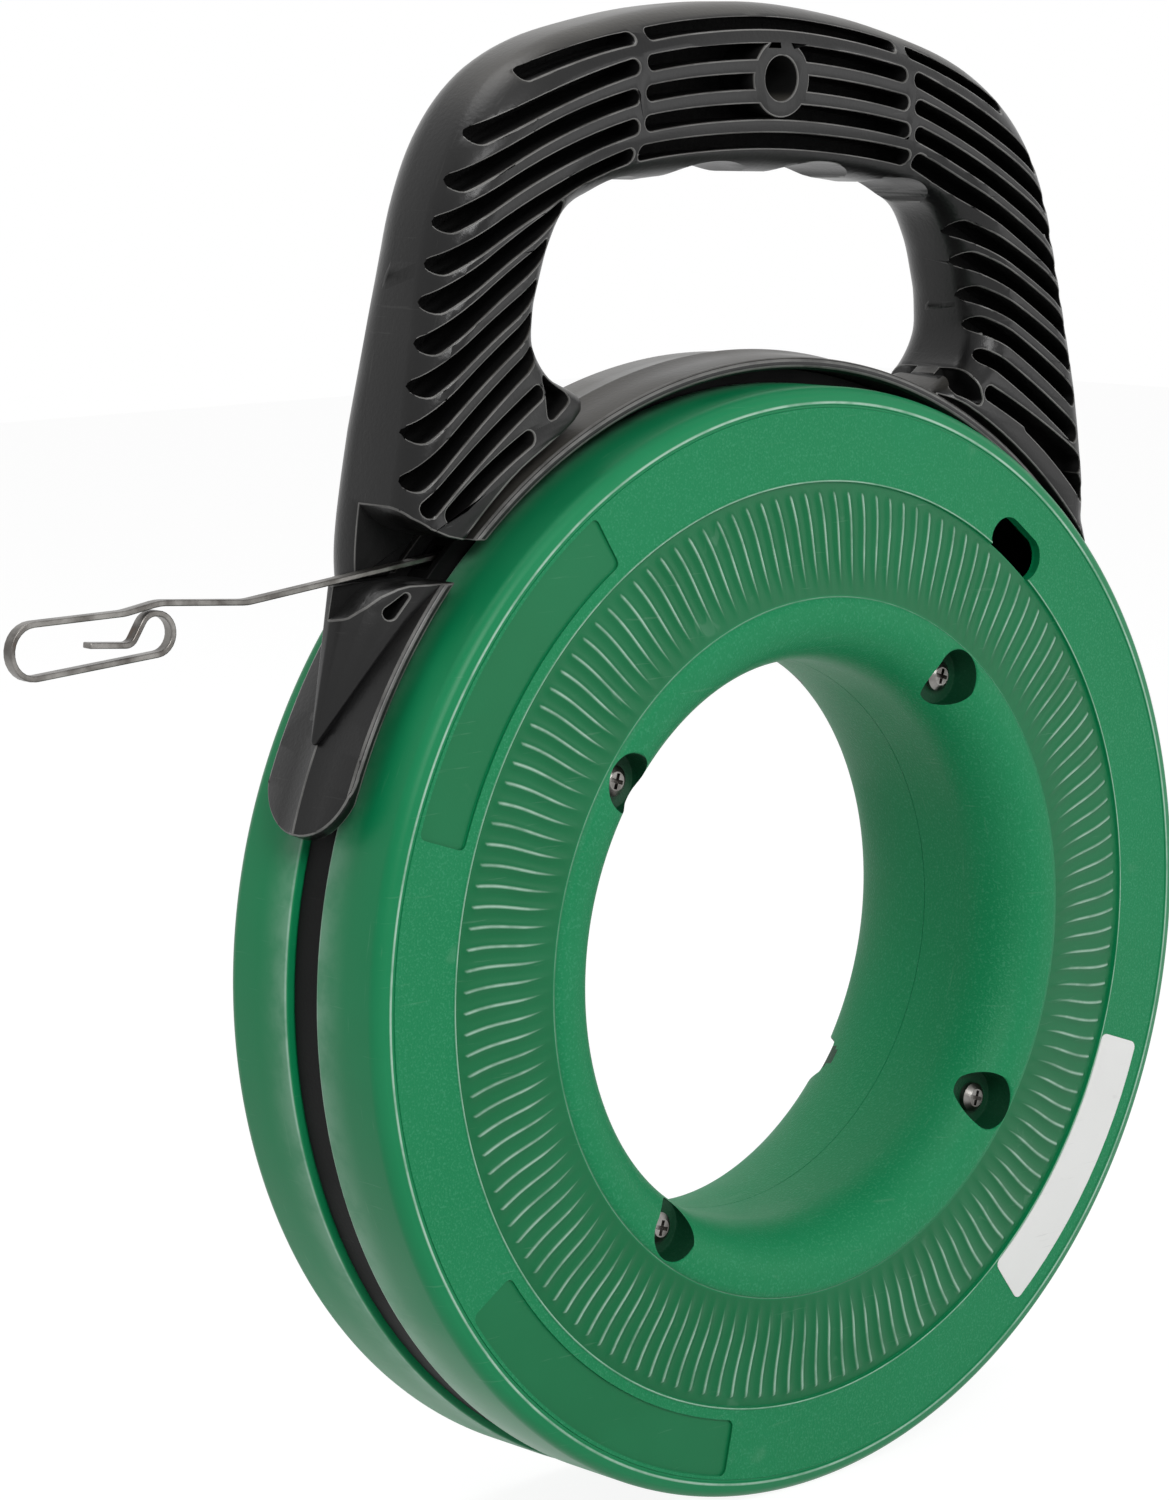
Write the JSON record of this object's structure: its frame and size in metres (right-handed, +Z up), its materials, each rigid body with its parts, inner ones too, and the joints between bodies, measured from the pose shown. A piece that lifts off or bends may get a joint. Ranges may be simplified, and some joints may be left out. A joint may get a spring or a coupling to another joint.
{
  "type": "fish tape reel",
  "caption": "Flat steel fish tape wound in a round ring-shaped case that turns inside a carrying handle; the tape leaves a mouth beside the handle and ends in a folded hook.",
  "frame": {"origin": "centre of the case, on the hub axis, halfway between its two faces", "axes": "+Z up through the middle of the grip, -Y out of the front face along the hub axis, the tape leaves towards -X"},
  "size_m": [0.3922, 0.07, 0.407],
  "materials": {
    "case_plastic": "fine moulded grain, satin",
    "handle_plastic": "satin, fine grain",
    "tape_steel": "oiled spring steel, dark",
    "screw_steel": "dark plated steel",
    "label_film": "smooth printed film, left without print"
  },
  "bodies": {
    "handle": {"handle_body": "handle_plastic", "guide_ring": "handle_plastic"},
    "case": {"front_shell": "case_plastic", "rear_shell": "case_plastic", "hub_screw_1": "screw_steel", "hub_screw_2": "screw_steel", "hub_screw_3": "screw_steel", "hub_screw_4": "screw_steel", "face_label": "label_film", "tape_coil": "tape_steel"},
    "tape": {"tape_leader": "tape_steel"}
  },
  "joints": [
    {"name": "case_spin", "type": "hinge", "parent": "handle", "child": "case", "pos_m": [0, 0, 0], "axis": [0, 1, 0], "continuous": true},
    {"name": "tape_feed", "type": "slide", "parent": "handle", "child": "tape", "axis": [-0.9951, 0, -0.0993], "range_m": [-0.044, 0.06]}
  ]
}
